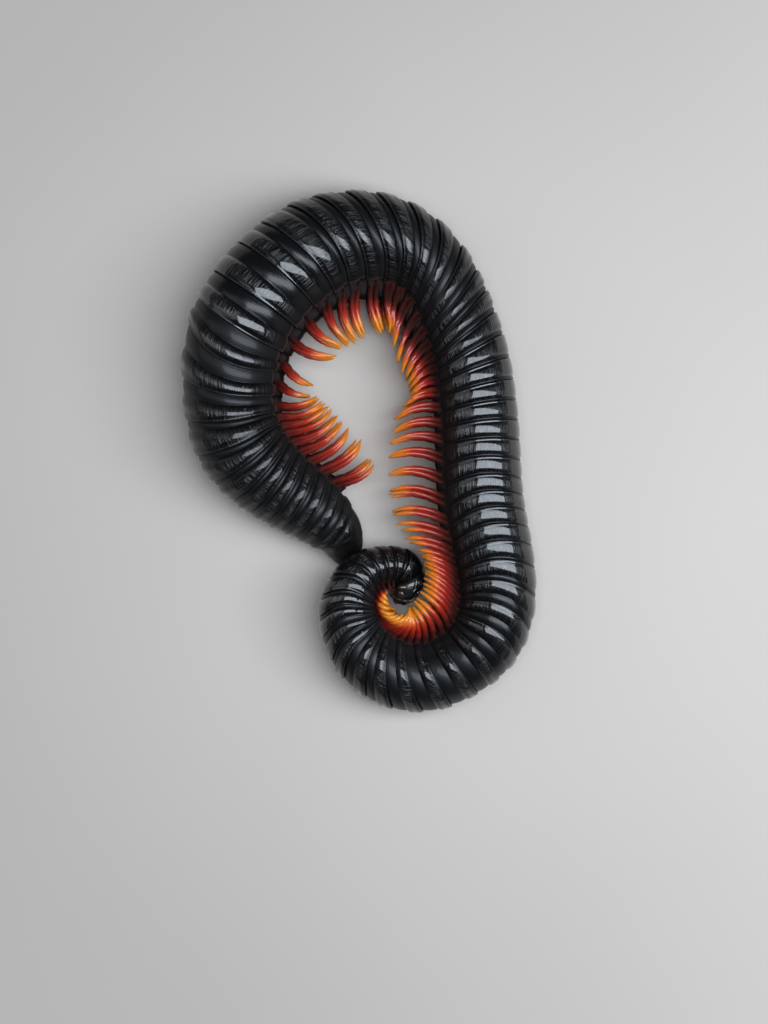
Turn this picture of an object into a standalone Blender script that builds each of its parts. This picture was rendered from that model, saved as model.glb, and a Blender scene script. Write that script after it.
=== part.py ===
"""Giant black millipede with orange legs, curled up on its left side.

Life size, metres, +Z up.  The animal lies on its left flank, so its right
flank faces up and its back faces outward.  The body runs in a broad hook:
the tail ends beside the small spiral in which the head is rolled up.
The body is a chain of nodes: head, eyes, feelers, collar plate, eight
lengths of ringed trunk with their legs, and the tail piece.
"""
import math
import random

import bmesh
import bpy
import numpy as np
from mathutils import Matrix, Vector

# Driving dimensions, in millimetres until the meshes are written.
MM = 0.001
GAP = 0.38                  # clearance between two nodes that touch
SIDES = 16                  # flats round a body ring
FLOOR_SINK = 0.97           # height of the middle line, as a share of the radius
# Depth of a ring's belly side against its back: a little flatter, fuller where the roll
# turns in, and much flatter at the neck.
BELLY_DEPTH = ((140, 0.95), (144, 1.0), (148, 1.13), (152, 1.16), (155, 1.02), (157, 0.88), (159, 0.78))

# Middle line of the body, tail to head: x, y, radius, lift off the floor.
ROUTE = (
    (-1.1, -16.0, 0.9, 0.0), (-1.6, -14.3, 2.15, 0.0), (-2.2, -12.5, 3.05, 0.0),
    (-3.15, -10.75, 3.85, 0.0), (-4.6, -9.15, 4.45, 0.0), (-6.8, -7.3, 5.0, 0.0),
    (-10.05, -5.05, 5.55, 0.0), (-13.3, -2.3, 6.1, 0.0), (-15.9, 1.1, 6.5, 0.0),
    (-17.3, 5.2, 6.55, 0.0), (-17.6, 9.55, 6.75, 0.0), (-16.9, 14.6, 7.15, 0.0),
    (-14.7, 19.65, 7.35, 0.0), (-11.15, 23.9, 7.3, 0.0), (-6.6, 27.3, 7.2, 0.0),
    (-1.85, 29.15, 6.65, 0.0), (3.6, 29.1, 6.2, 0.0), (8.5, 26.75, 5.6, 0.0),
    (11.95, 22.1, 5.35, 0.0), (13.85, 17.5, 5.35, 0.0), (15.2, 12.7, 5.45, 0.0),
    (16.0, 7.5, 5.5, 0.0), (16.45, 1.1, 5.6, 0.0), (16.85, -6.4, 5.7, 0.0),
    (17.7, -11.5, 5.7, 0.0), (18.55, -16.5, 5.6, 0.0), (18.35, -22.25, 5.5, 0.0),
    (17.0, -25.5, 5.4, 0.0), (14.5, -28.1, 5.15, 0.0), (11.1, -30.0, 5.05, 0.0),
    (7.85, -30.6, 5.05, 0.0), (4.7, -30.0, 5.0, 0.1), (1.0, -27.65, 4.7, 0.6),
    (-1.15, -24.55, 4.15, 1.5), (-1.85, -21.0, 3.8, 2.6), (-0.9, -18.0, 3.35, 3.45),
    (1.3, -15.9, 2.95, 3.4), (3.75, -15.3, 2.7, 2.7), (5.65, -15.65, 2.6, 2.0),
    (6.7, -16.95, 2.5, 1.6), (6.75, -18.55, 2.4, 1.4), (6.35, -20.2, 2.3, 1.3),
)

# Hind edges of the trunk rings, counted from the tail: ring number and the station
# of its edge at the top of the flank.  The edges in between are spread evenly.
RING_EDGES = (
    (0, 5.9), (1, 7.9), (2, 10.15), (6, 18.65), (8, 23.35), (9, 26.4), (10, 30.15), (11, 34.6),
    (13, 43.7), (14, 48.5), (15, 52.5), (16, 56.0), (18, 62.95), (22, 75.2), (23, 77.9),
    (28, 89.7), (33, 101.65), (37, 110.5), (38, 112.95), (39, 115.7), (40, 118.95), (42, 125.6),
    (43, 129.4), (45, 136.6), (46, 140.0), (48, 145.7), (50, 150.0), (53, 154.8), (58, 161.0),
)
# The rings don't stand quite square to the middle line: their backs lean towards the
# head by these degrees (minus: to the tail), and their edges are bowed, back and belly
# behind the flank, by these shares of the radius (minus: ahead of it).
RING_LEAN = (
    (5, -12), (9, -7), (12, -4), (18, -4), (24, 3), (29, 11), (34, 17), (39, 11), (43, 0),
    (48, -6), (52, -11), (56, -13), (60, -23), (66, -30), (73, -33), (77, -29), (81, -25),
    (84, -18), (88, -9), (92, -5), (96, -2), (104, -3), (108, -1), (112, 3), (115.5, 11),
    (118.5, 14), (122, 12), (125.5, 6), (129.5, -3), (133, -12), (137, -24), (140, -27),
    (144, -25), (148, -21), (152, -14), (156, -6), (160, 0),
)
RING_BOW = (
    (5, -0.1), (29, -0.12), (34, -0.28), (39, -0.05), (46, 0.0), (56, 0.06), (66, 0.0),
    (80, 0.0), (88, -0.03), (96, -0.09), (104, -0.28), (112, -0.32), (118.5, -0.3),
    (124, -0.12), (130, 0.0), (137, -0.06), (141, 0.02), (144, 0.12), (148, 0.32),
    (154, 0.3), (158, 0.1), (162, 0.0),
)
PLATE_SHARE = 0.34          # length of a ring's glossy hind band, in radii
BAND_WAIST = 0.975          # radius at the furrow in front of the hind band
FRONT_WAIST = 0.94          # radius where a ring slips under the one before it

# Nodes of the trunk: how many rings each has, counted from the tail.
TRUNK_RINGS = (9, 4, 5, 8, 12, 6, 4, 10)
COLLUM_TO = 162.6

# Legs: sweep towards the head in degrees, and reach out of the belly.
LEG_SWEEP = (
    (6, -24), (9, -23), (12, -17), (18, -14), (21, -12), (25, -3), (28, 1), (31.6, -16), (35, -34),
    (37, -20), (39.2, 4), (43.7, 12), (48, 1), (51.5, -8), (55, -11), (58.7, -6), (62.7, 12),
    (65.4, 25), (70, 34), (76, 42), (80, 42), (84, 38), (86, 30), (88.1, 21), (91, 10), (94.5, 6),
    (97, 0), (100, -6), (105.2, -14), (108.2, -19), (111, -25), (114, -35), (118, -38), (121, -30),
    (124.5, -14), (127.4, -1), (130.5, 4), (134, 8), (138, 17), (141, 14), (144, 3), (147, -4),
    (150, -4), (152, 0), (160, 0),
)
LEG_REACH = (
    (6, 3.6), (8.7, 4.6), (10.4, 5.7), (12.3, 6.4), (18, 6.7), (25, 6.3), (28.2, 5.6), (31.6, 4.4),
    (35.5, 4.2), (39, 6.0), (43.7, 6.4), (48, 5.9), (51.4, 6.4), (55, 6.9), (59, 7.3), (62.7, 6.9),
    (65.4, 6.0), (70, 5.2), (76, 5.1), (80, 4.8), (83, 4.0), (88, 3.7), (90, 5.2), (91.5, 6.1),
    (96.7, 6.8), (100, 7.2), (105, 7.1), (108.2, 6.8), (110.9, 5.9), (113, 4.4), (116.8, 4.4),
    (119.6, 5.0), (123.2, 6.0), (127.4, 6.3), (130.5, 5.8), (134, 5.1), (138, 4.7), (141, 4.4),
    (144, 4.0), (146, 3.9), (148, 3.6), (150, 3.2), (152, 2.6), (154, 2.4), (156, 2.4), (158, 1.6),
    (160, 1.2),
)
# In the roll the upper legs reach over the head, and the lower ones are tucked short of it.
ROLL_LIFT = (
    (108, 0.0), (114, 0.5), (126, 0.9), (133.6, 0.9), (134.2, 0.1), (146.2, 0.1), (146.6, 0.8),
    (150, 0.8), (156, 0.2),
)
ROLL_TUCK = ((107, 1.0), (112, 0.58), (130, 0.55), (150, 0.6), (152, 1.0))
LEG_LENGTH = 8.0
LEG_RADII = (0.44, 0.40, 0.33, 0.12)
LEG_BOW = 0.12              # a leg bows back towards the tail by this share of its reach
PAIR_SPREAD = ((105, 0.26), (135, 0.17))  # the pairs of a ring, as shares of its length
PAIR_CLOSE = 3.5            # degrees by which the two legs of a pair lean together
SINGLE_FROM = 144.0         # the first rings behind the head carry one pair each
LOWER_SINGLE_FROM = 104.0   # and under the roll every second lower leg is left out
CUT_NEAR = 1.0              # legs this near a cut between two nodes stand off from it
CUT_SHIFT = 0.55            # by this much at the root
CUT_LEAN = 4.0              # and lean away from it by these degrees

# Head: points on its crown and on its chin (ahead, to the back), and its half width.
HEAD_PROFILE = (
    ((0.30, 2.05), (0.30, -1.85), 2.05), ((0.95, 2.10), (0.32, -2.42), 2.36), ((2.05, 1.60), (0.46, -2.64), 2.50),
    ((2.95, 0.62), (0.72, -2.76), 2.46), ((3.50, -0.62), (1.06, -2.92), 2.26), ((3.60, -1.85), (1.48, -3.12), 1.88),
    ((3.22, -2.72), (1.92, -3.26), 1.36), ((2.98, -2.96), (2.10, -3.28), 1.12),
)
FEELER = ((2.35, -0.1, 2.45), (2.65, -0.35, 2.78), (2.75, -1.2, 2.86), (2.3, -2.2, 2.6), (1.5, -3.0, 1.95),
          (0.95, -3.3, 1.45))
SEED = 7


def natural_spline(rows):
    """Smooth curve through the rows; returns a function of arc length and its end."""
    rows = np.array(rows, float)
    steps = np.linalg.norm(np.diff(rows[:, :2], axis=0), axis=1)
    knots = np.concatenate([[0.0], np.cumsum(steps)])
    size = len(knots)
    matrix = np.zeros((size, size))
    right = np.zeros((size, rows.shape[1]))
    matrix[0, 0] = 1.0
    matrix[-1, -1] = 1.0
    for i in range(1, size - 1):
        matrix[i, i - 1] = steps[i - 1]
        matrix[i, i] = 2.0 * (steps[i - 1] + steps[i])
        matrix[i, i + 1] = steps[i]
        right[i] = 6.0 * ((rows[i + 1] - rows[i]) / steps[i] - (rows[i] - rows[i - 1]) / steps[i - 1])
    bend = np.linalg.solve(matrix, right)

    def at(u):
        k = min(max(int(np.searchsorted(knots, u, side="right")) - 1, 0), size - 2)
        h = steps[k]
        a = u - knots[k]
        b = knots[k + 1] - u
        cubic = (bend[k] * b ** 3 + bend[k + 1] * a ** 3) / (6.0 * h)
        return cubic + (rows[k] / h - bend[k] * h / 6.0) * b + (rows[k + 1] / h - bend[k + 1] * h / 6.0) * a

    fine = np.linspace(0.0, knots[-1], 3000)
    places = np.array([at(u) for u in fine])
    lengths = np.concatenate([[0.0], np.cumsum(np.linalg.norm(np.diff(places[:, :2], axis=0), axis=1))])
    return lambda s: at(float(np.interp(s, lengths, fine))), float(lengths[-1])


ROUTE_AT, ROUTE_END = natural_spline(ROUTE)


def table(rows, s):
    """Straight-line reading of a table of (station, value)."""
    return float(np.interp(s, [r[0] for r in rows], [r[1] for r in rows]))


def centre(s):
    x, y, radius, lift = ROUTE_AT(s)
    return Vector((x, y, radius * FLOOR_SINK + lift))


def radius_at(s):
    return float(ROUTE_AT(s)[2])


def ventral_share(s):
    return table(BELLY_DEPTH, s)


def frame_at(s):
    """Middle point, direction to the head, to the back and to the right flank."""
    ahead = (centre(min(s + 0.4, ROUTE_END)) - centre(max(s - 0.4, 0.0))).normalized()
    back = ahead.cross(Vector((0.0, 0.0, 1.0)))
    back = -back.normalized()
    flank = ahead.cross(back).normalized()
    if flank.z < 0.0:
        back = -back
        flank = -flank
    return centre(s), ahead, back, flank


def ring_station(s, v):
    """Where an edge that crosses the flank at station s passes v radii to the back."""
    lean = math.tan(math.radians(table(RING_LEAN, s)))
    return s + radius_at(s) * (lean * v - table(RING_BOW, s) * v * v)


def ring_loop(s, scale, gap=0.0):
    """One loop of points round the body, kept above the floor."""
    belly = ventral_share(s)
    loop = []
    for i in range(SIDES):
        angle = 2.0 * math.pi * (i + 0.5) / SIDES
        depth = math.cos(angle)
        station = ring_station(s, depth)
        middle, ahead, back, flank = frame_at(station)
        radius = radius_at(station) * scale
        if depth < 0.0:
            depth *= belly
        point = middle + back * (radius * depth) + flank * (radius * math.sin(angle)) - ahead * gap
        point.z = max(point.z, 0.0)
        loop.append(point)
    return loop


def loft(name, loops, tip_start=None, tip_end=None):
    """Closed surface through loops of equal size, with flat or pointed ends."""
    mesh = bmesh.new()
    rows = [[mesh.verts.new(point * MM) for point in loop] for loop in loops]
    for low, high in zip(rows, rows[1:]):
        for i in range(len(low)):
            j = (i + 1) % len(low)
            mesh.faces.new((low[i], low[j], high[j], high[i]))
    for row, tip in ((rows[0], tip_start), (rows[-1], tip_end)):
        if tip is None:
            mesh.faces.new(row)
        else:
            apex = mesh.verts.new(tip * MM)
            for i in range(len(row)):
                mesh.faces.new((row[i], row[(i + 1) % len(row)], apex))
    bmesh.ops.recalc_face_normals(mesh, faces=mesh.faces)
    bmesh.ops.triangulate(mesh, faces=mesh.faces)
    data = bpy.data.meshes.new(name)
    mesh.to_mesh(data)
    mesh.free()
    return bpy.data.objects.new(name, data)


def tube(name, points, radii, sides, pointed=True):
    """Tapered limb through a few points."""
    loops = []
    side = None
    for i, point in enumerate(points):
        before = points[max(i - 1, 0)]
        after = points[min(i + 1, len(points) - 1)]
        along = (after - before).normalized()
        if side is None:
            side = along.orthogonal().normalized()
        side = (side - along * side.dot(along)).normalized()
        other = along.cross(side)
        if pointed and i == len(points) - 1:
            break
        loops.append([point + (side * math.cos(a) + other * math.sin(a)) * radii[i]
                      for a in (2.0 * math.pi * k / sides for k in range(sides))])
    return loft(name, loops, tip_end=points[-1] if pointed else None)


def ellipsoid(name, origin, axes, sizes, segments=12, rings=8):
    """Egg shape with its own three directions."""
    bpy.ops.mesh.primitive_uv_sphere_add(segments=segments, ring_count=rings, radius=1.0)
    thing = bpy.context.object
    thing.name = name
    turn = Matrix(([a * s for a, s in zip(axes, sizes)])).transposed().to_4x4()
    turn = Matrix.Translation(origin * MM) @ turn
    for vertex in thing.data.vertices:
        vertex.co = turn @ (vertex.co * MM)
    if turn.determinant() < 0.0:
        thing.data.flip_normals()
    return thing


def material(name, colour, roughness, coat=0.0):
    made = bpy.data.materials.get(name)
    if made is None:
        made = bpy.data.materials.new(name)
        made.use_nodes = True
        shader = made.node_tree.nodes["Principled BSDF"]
        shader.inputs["Base Color"].default_value = (*colour, 1.0)
        shader.inputs["Roughness"].default_value = roughness
        shader.inputs["Metallic"].default_value = 0.0
        shader.inputs["Coat Weight"].default_value = coat
    return made


def finish(thing, parts, look):
    """Put a node in the animal's collection with its own material."""
    for holder in list(thing.users_collection):
        holder.objects.unlink(thing)
    parts.objects.link(thing)
    thing.data.materials.clear()
    thing.data.materials.append(look)
    thing.data.shade_smooth()
    thing.data.set_sharp_from_angle(angle=math.radians(35))
    return thing


def combine(thing, others, operation="UNION"):
    """Join or cut a solid with several closed solids, then drop them."""
    group = bpy.data.collections.new(thing.name + "_pieces")
    bpy.context.scene.collection.children.link(group)
    for other in others:
        for holder in list(other.users_collection):
            holder.objects.unlink(other)
        group.objects.link(other)
        other.hide_render = True
        other.display_type = "WIRE"
    if not thing.users_collection:
        bpy.context.scene.collection.objects.link(thing)
    cut = thing.modifiers.new("combine", "BOOLEAN")
    cut.operation = operation
    cut.operand_type = "COLLECTION"
    cut.collection = group
    for solver in ("EXACT", "MANIFOLD"):
        cut.solver = solver
        bpy.context.view_layer.update()
        evaluated = thing.evaluated_get(bpy.context.evaluated_depsgraph_get())
        joined = bpy.data.meshes.new_from_object(evaluated)
        if keep_largest(joined):
            break
    thing.modifiers.remove(cut)
    old = thing.data
    thing.data = joined
    bpy.data.meshes.remove(old)
    for other in list(group.objects):
        bpy.data.objects.remove(other, do_unlink=True)
    bpy.data.collections.remove(group)
    return thing


def keep_largest(data):
    """Leave only the largest surface of a joined solid; tells whether it is closed."""
    for slack in (0.000001, 0.0000003, 0.0):
        mesh = bmesh.new()
        mesh.from_mesh(data)
        if slack:
            bmesh.ops.remove_doubles(mesh, verts=mesh.verts, dist=slack)
        bmesh.ops.triangulate(mesh, faces=mesh.faces)
        loose = loose_faces(mesh)
        bmesh.ops.delete(mesh, geom=loose, context="FACES")
        closed = all(len(edge.link_faces) == 2 for edge in mesh.edges)
        if closed:
            mesh.to_mesh(data)
        mesh.free()
        if closed:
            return True
    return False


def loose_faces(mesh):
    """All faces but those of the largest connected surface."""
    left = set(mesh.faces)
    groups = []
    while left:
        stack = [left.pop()]
        group = [stack[0]]
        while stack:
            for edge in stack.pop().edges:
                for face in edge.link_faces:
                    if face in left:
                        left.remove(face)
                        group.append(face)
                        stack.append(face)
        groups.append(group)
    groups.sort(key=len)
    return [face for group in groups[:-1] for face in group]


def ring_stations():
    """Hind edges of all trunk rings, from the tail forward, and the collar's."""
    return [table(RING_EDGES, k) for k in range(sum(TRUNK_RINGS) + 1)]


def ring_loops(rear, front):
    """Loops of one ring: flared hind edge, furrow, and the waist that slips forward."""
    length = front - rear
    plate = min(PLATE_SHARE * radius_at(rear), 0.72 * length)
    return [(rear, 1.0), (rear + plate, BAND_WAIST), (front - 0.05 * length, FRONT_WAIST)]


def leg(name, s, side, lean, draw):
    """One leg: out of the belly beside the middle line, knee raised, tip tucked in."""
    s = ring_station(s, -1.0)
    middle, ahead, back, flank = frame_at(s)
    depth = radius_at(s) * ventral_share(s)
    reach = table(LEG_REACH, s) * draw.uniform(0.96, 1.04)
    lift = table(ROLL_LIFT, s)
    if side < 0:
        reach *= table(ROLL_TUCK, s)
        lift = 0.0
    sweep = math.radians(table(LEG_SWEEP, s) + lean + draw.uniform(-1.5, 1.5))
    rise = 0.32 * math.sqrt(max(LEG_LENGTH ** 2 - reach ** 2, 1.0)) * side
    rise *= min(1.0, reach / 4.0)
    spread = 0.1 * radius_at(s) * side

    def place(out, up):
        share = min(max(out / reach, 0.0), 1.0)
        along = math.tan(sweep) * max(out, 0.0) - LEG_BOW * reach * 4.0 * share * (1.0 - share)
        return middle - back * (depth + out) + ahead * along + flank * (spread + up)

    shrink = min(1.0, 0.5 + reach / 8.0)
    points = [place(-1.1, 0.0), place(0.22 * reach, 0.45 * rise), place(0.62 * reach, rise + lift),
              place(reach, 0.45 * rise + lift)]
    return tube(name, points, [r * shrink for r in LEG_RADII], 4)


def trunk(index, stations, look, parts, draw):
    """One length of the trunk with its legs fused in."""
    name = "trunk_%d" % index
    loops = []
    for rear, front in zip(stations, stations[1:]):
        loops += [ring_loop(s, scale) for s, scale in ring_loops(rear, front)]
    # The front face lies along the node ahead, a gap behind its hind edge.
    loops[-1] = ring_loop(stations[-1], FRONT_WAIST, GAP)
    middle, ahead, back, flank = frame_at(stations[-1])
    body = loft(name, loops, tip_start=centre(stations[0]), tip_end=middle - ahead * GAP)
    legs = []
    for rear, front in zip(stations, stations[1:]):
        if rear == table(RING_EDGES, 0):
            continue
        length = front - rear
        one = ((0.5, 0.0),)
        spread = table(PAIR_SPREAD, rear)
        two = ((0.5 - spread, PAIR_CLOSE), (0.5 + spread, -PAIR_CLOSE))
        upper = one if rear > SINGLE_FROM else two
        lower = one if rear > LOWER_SINGLE_FROM else two
        for side, places in ((1, upper), (-1, lower)):
            for share, lean in places:
                s = rear + share * length
                away = (s - stations[0] < CUT_NEAR) - (stations[-1] - s < CUT_NEAR)
                s += CUT_SHIFT * away
                legs.append(leg("%s_leg_%d" % (name, len(legs)), s, side, lean + CUT_LEAN * away, draw))
    combine(body, legs)
    return finish(body, parts, look)


def main():
    for thing in list(bpy.data.objects):
        bpy.data.objects.remove(thing, do_unlink=True)
    parts = bpy.data.collections.new("millipede")
    bpy.context.scene.collection.children.link(parts)
    draw = random.Random(SEED)

    black = material("cuticle", (0.012, 0.012, 0.014), 0.22, coat=0.6)
    horn = material("feeler", (0.03, 0.02, 0.016), 0.3)
    eye = material("eye", (0.01, 0.01, 0.01), 0.08)

    stations = ring_stations()
    count = len(TRUNK_RINGS)
    first = 0
    for k, rings in enumerate(TRUNK_RINGS):
        piece = stations[first:first + rings + 1]
        trunk(count - k, piece, black, parts, draw)
        first += rings

    # Tail piece: a blunt dome behind the last ring.
    tail = [ring_loop(stations[0], 0.94, GAP)]
    tail += [ring_loop(s, 0.97) for s in (4.4, 3.3, 2.2, 1.5)]
    middle, ahead, back, flank = frame_at(stations[0])
    telson = loft("telson", tail, tip_start=middle - ahead * GAP)
    middle, ahead, back, flank = frame_at(1.5)
    valves = [ellipsoid("valve", middle - ahead * 0.1 + flank * (0.62 * side), (ahead, back, flank),
                        (1.25, 1.65, 0.95)) for side in (1, -1)]
    combine(telson, valves)
    finish(telson, parts, black)

    # Collar plate: a wedge in the last bend, its two faces square to what it meets.
    neck = stations[-1]
    collar = [ring_loop(neck, 1.04)]
    steps = 4
    for i in range(1, steps):
        s = neck + (COLLUM_TO - neck) * i / steps
        collar.append(ring_loop(s, 1.06 - 0.02 * i))
    collar.append(ring_loop(COLLUM_TO, 0.96))
    collum = loft("collum", collar, tip_start=centre(neck))
    finish(collum, parts, black)

    # Head capsule.
    middle, ahead, back, flank = frame_at(COLLUM_TO)
    head_loops = []
    for crown, chin, wide in HEAD_PROFILE:
        origin = middle + ahead * (crown[0] + chin[0]) / 2.0 + back * (crown[1] + chin[1]) / 2.0
        half = ahead * (crown[0] - chin[0]) / 2.0 + back * (crown[1] - chin[1]) / 2.0
        head_loops.append([origin + half * math.cos(a) + flank * (wide * math.sin(a))
                           for a in (2.0 * math.pi * (i + 0.5) / SIDES for i in range(SIDES))])
    head = loft("head", head_loops)
    sockets = []
    eyes = []
    for side, label in ((1, "right"), (-1, "left")):
        seat = middle + ahead * 1.2 + back * 0.85 + flank * (2.0 * side)
        sizes = (0.5, 0.66, 0.45)
        sockets.append(ellipsoid("socket_" + label, seat, (ahead, back, flank), [v + GAP for v in sizes]))
        eyes.append(ellipsoid("eye_" + label, seat, (ahead, back, flank), sizes))
    combine(head, sockets, "DIFFERENCE")
    finish(head, parts, black)
    for thing in eyes:
        finish(thing, parts, eye)

    for side, label in ((1, "right"), (-1, "left")):
        points = [middle + ahead * along + back * up + flank * (side * out) for along, up, out in FEELER]
        feeler = tube("antenna_" + label, points, (0.24, 0.27, 0.27, 0.28, 0.28, 0.2), 8, pointed=False)
        finish(feeler, parts, horn)


main()
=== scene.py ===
"""Looks of the curled black millipede with orange legs: plates, legs, head, floor and light.

The animal lies on its left flank.  Lengths are in millimetres until a mesh is written.
"""

import math
import random

import bpy
import numpy as np
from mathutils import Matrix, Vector


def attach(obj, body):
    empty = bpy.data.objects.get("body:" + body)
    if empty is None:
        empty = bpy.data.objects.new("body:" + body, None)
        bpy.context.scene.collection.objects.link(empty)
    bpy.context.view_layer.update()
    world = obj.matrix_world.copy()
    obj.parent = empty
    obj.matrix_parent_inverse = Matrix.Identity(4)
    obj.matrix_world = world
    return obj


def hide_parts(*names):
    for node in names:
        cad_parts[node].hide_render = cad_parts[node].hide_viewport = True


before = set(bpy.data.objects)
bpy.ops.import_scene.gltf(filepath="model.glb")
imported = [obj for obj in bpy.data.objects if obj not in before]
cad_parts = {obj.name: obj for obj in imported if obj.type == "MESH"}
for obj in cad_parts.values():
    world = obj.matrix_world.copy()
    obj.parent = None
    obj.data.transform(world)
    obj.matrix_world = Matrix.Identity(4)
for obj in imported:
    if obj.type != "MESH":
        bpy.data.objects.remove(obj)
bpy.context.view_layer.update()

MM = 0.001
FLOOR_SINK = 0.97  # height of the middle line, as a share of the radius
# Depth of a ring's belly side against its back.
BELLY_DEPTH = ((140, 0.95), (144, 1.0), (148, 1.13), (152, 1.16), (155, 1.02), (157, 0.88), (159, 0.78))

# Middle line of the body, tail to head: x, y, radius, lift off the floor.
ROUTE = (
    (-1.1, -16.0, 0.9, 0.0), (-1.6, -14.3, 2.15, 0.0), (-2.2, -12.5, 3.05, 0.0),
    (-3.15, -10.75, 3.85, 0.0), (-4.6, -9.15, 4.45, 0.0), (-6.8, -7.3, 5.0, 0.0),
    (-10.05, -5.05, 5.55, 0.0), (-13.3, -2.3, 6.1, 0.0), (-15.9, 1.1, 6.5, 0.0),
    (-17.3, 5.2, 6.55, 0.0), (-17.6, 9.55, 6.75, 0.0), (-16.9, 14.6, 7.15, 0.0),
    (-14.7, 19.65, 7.35, 0.0), (-11.15, 23.9, 7.3, 0.0), (-6.6, 27.3, 7.2, 0.0),
    (-1.85, 29.15, 6.65, 0.0), (3.6, 29.1, 6.2, 0.0), (8.5, 26.75, 5.6, 0.0),
    (11.95, 22.1, 5.35, 0.0), (13.85, 17.5, 5.35, 0.0), (15.2, 12.7, 5.45, 0.0),
    (16.0, 7.5, 5.5, 0.0), (16.45, 1.1, 5.6, 0.0), (16.85, -6.4, 5.7, 0.0),
    (17.7, -11.5, 5.7, 0.0), (18.55, -16.5, 5.6, 0.0), (18.35, -22.25, 5.5, 0.0),
    (17.0, -25.5, 5.4, 0.0), (14.5, -28.1, 5.15, 0.0), (11.1, -30.0, 5.05, 0.0),
    (7.85, -30.6, 5.05, 0.0), (4.7, -30.0, 5.0, 0.1), (1.0, -27.65, 4.7, 0.6),
    (-1.15, -24.55, 4.15, 1.5), (-1.85, -21.0, 3.8, 2.6), (-0.9, -18.0, 3.35, 3.45),
    (1.3, -15.9, 2.95, 3.4), (3.75, -15.3, 2.7, 2.7), (5.65, -15.65, 2.6, 2.0),
    (6.7, -16.95, 2.5, 1.6), (6.75, -18.55, 2.4, 1.4), (6.35, -20.2, 2.3, 1.3),
)
# Hind edges of the rings: ring number from the tail, station at the top of the flank.
RING_EDGES = (
    (0, 5.9), (1, 7.9), (2, 10.15), (6, 18.65), (8, 23.35), (9, 26.4), (10, 30.15), (11, 34.6),
    (13, 43.7), (14, 48.5), (15, 52.5), (16, 56.0), (18, 62.95), (22, 75.2), (23, 77.9),
    (28, 89.7), (33, 101.65), (37, 110.5), (38, 112.95), (39, 115.7), (40, 118.95), (42, 125.6),
    (43, 129.4), (45, 136.6), (46, 140.0), (48, 145.7), (50, 150.0), (53, 154.8), (58, 161.0),
)
# The rings don't stand quite square to the middle line: their backs lean to the head by these
# degrees (minus: to the tail), and their back and belly lie behind the flank's middle by these
# shares of the radius (minus: ahead of it).
RING_LEAN = (
    (5, -12), (9, -7), (12, -4), (18, -4), (24, 3), (29, 11), (34, 17), (39, 11), (43, 0),
    (48, -6), (52, -11), (56, -13), (60, -23), (66, -30), (73, -33), (77, -29), (81, -25),
    (84, -18), (88, -9), (92, -5), (96, -2), (104, -3), (108, -1), (112, 3), (115.5, 11),
    (118.5, 14), (122, 12), (125.5, 6), (129.5, -3), (133, -12), (137, -24), (140, -27),
    (144, -25), (148, -21), (152, -14), (156, -6), (160, 0),
)
RING_BOW = (
    (5, -0.1), (29, -0.12), (34, -0.28), (39, -0.05), (46, 0.0), (56, 0.06), (66, 0.0),
    (80, 0.0), (88, -0.03), (96, -0.09), (104, -0.28), (112, -0.32), (118.5, -0.3),
    (124, -0.12), (130, 0.0), (137, -0.06), (141, 0.02), (144, 0.12), (148, 0.32),
    (154, 0.3), (158, 0.1), (162, 0.0),
)
PLATE_SHARE = 0.34  # length of a ring's hind band, in radii
# The hind band is at most this share of the ring, by station.
PLATE_MOST = ((80, 0.72), (86, 0.83), (108, 0.83), (113, 0.72))
# Nodes of the trunk: how many rings each has, counted from the tail.
TRUNK_RINGS = (9, 4, 5, 8, 12, 6, 4, 10)
RINGS = sum(TRUNK_RINGS)
COLLUM_TO = 162.6  # front edge of the collar plate
TUCK = 0.55  # how far a ring's front slips under the ring ahead
LAST_TUCK = 0.7  # and the share of that by which the last ring slips under the collar
RECESS = 0.75  # depth of the hollow behind a ring's hind edge
DOME_TOP = 0.45  # where a domed hind band is highest
RING_VARIES = 0.004  # rings differ in size by this share
ROUND = 192  # faces round a ring
SLEEVE_SIDES = 144  # and round the collar and the tail's cone
PORE_PLACE = 0.36  # the pores sit this share of the radius below the flank's middle
PORE_ALONG = 0.66  # and this share of the way from the hind edge to the furrow
PORE_SIZE = 0.15
PORE_RISE = 0.4  # height of a pore, as a share of its width
PORE_FREE = 5  # so many rings behind the head have no pores

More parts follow.
